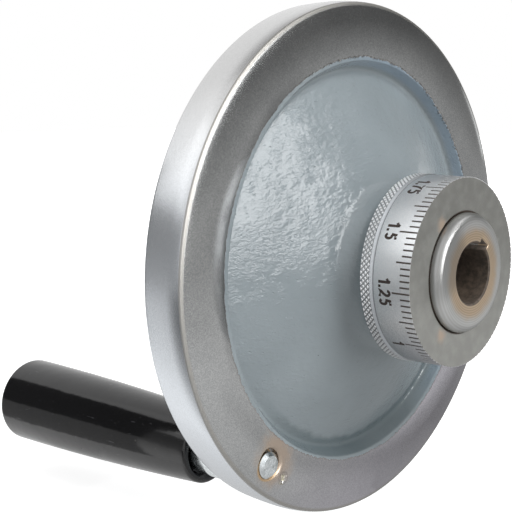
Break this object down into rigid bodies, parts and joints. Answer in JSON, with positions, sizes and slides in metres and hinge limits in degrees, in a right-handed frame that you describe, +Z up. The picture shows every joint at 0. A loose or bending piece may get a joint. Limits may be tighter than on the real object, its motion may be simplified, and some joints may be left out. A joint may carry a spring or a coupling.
{
  "type": "machine handwheel",
  "caption": "Machine handwheel with a solid dished web, a keyed hub bore, a graduated friction dial on the hub and a revolving side handle.",
  "frame": {"origin": "on the wheel's axis, in the plane of the machined front face of the rim", "axes": "-Y along the axis towards the nose of the hub and the dial, +Y towards the side handle, +Z up, with the wheel upright on a level shaft"},
  "size_m": [0.16, 0.1505, 0.16],
  "materials": {
    "casting": "blue-grey enamel on the web, rim and nose ground and satin chromium plated",
    "dial_steel": "satin, matt front face",
    "spring_steel": "blued",
    "phenolic": "polished black moulding",
    "zinc_plated_steel": "bright zinc"
  },
  "bodies": {
    "wheel": {"handwheel": "casting", "dial_spring": "spring_steel", "handle_spindle": "zinc_plated_steel", "thrust_washer": "zinc_plated_steel", "retaining_ring": "spring_steel"},
    "dial": {"dial_ring": "dial_steel"},
    "grip": {"grip": "phenolic"}
  },
  "joints": [
    {"name": "dial_turn", "type": "hinge", "parent": "wheel", "child": "dial", "pos_m": [0, 0, 0], "axis": [0, -1, 0], "continuous": true},
    {"name": "grip_spin", "type": "hinge", "parent": "wheel", "child": "grip", "pos_m": [-0.04519, 0.016, -0.05541], "axis": [0, 1, 0], "continuous": true}
  ]
}
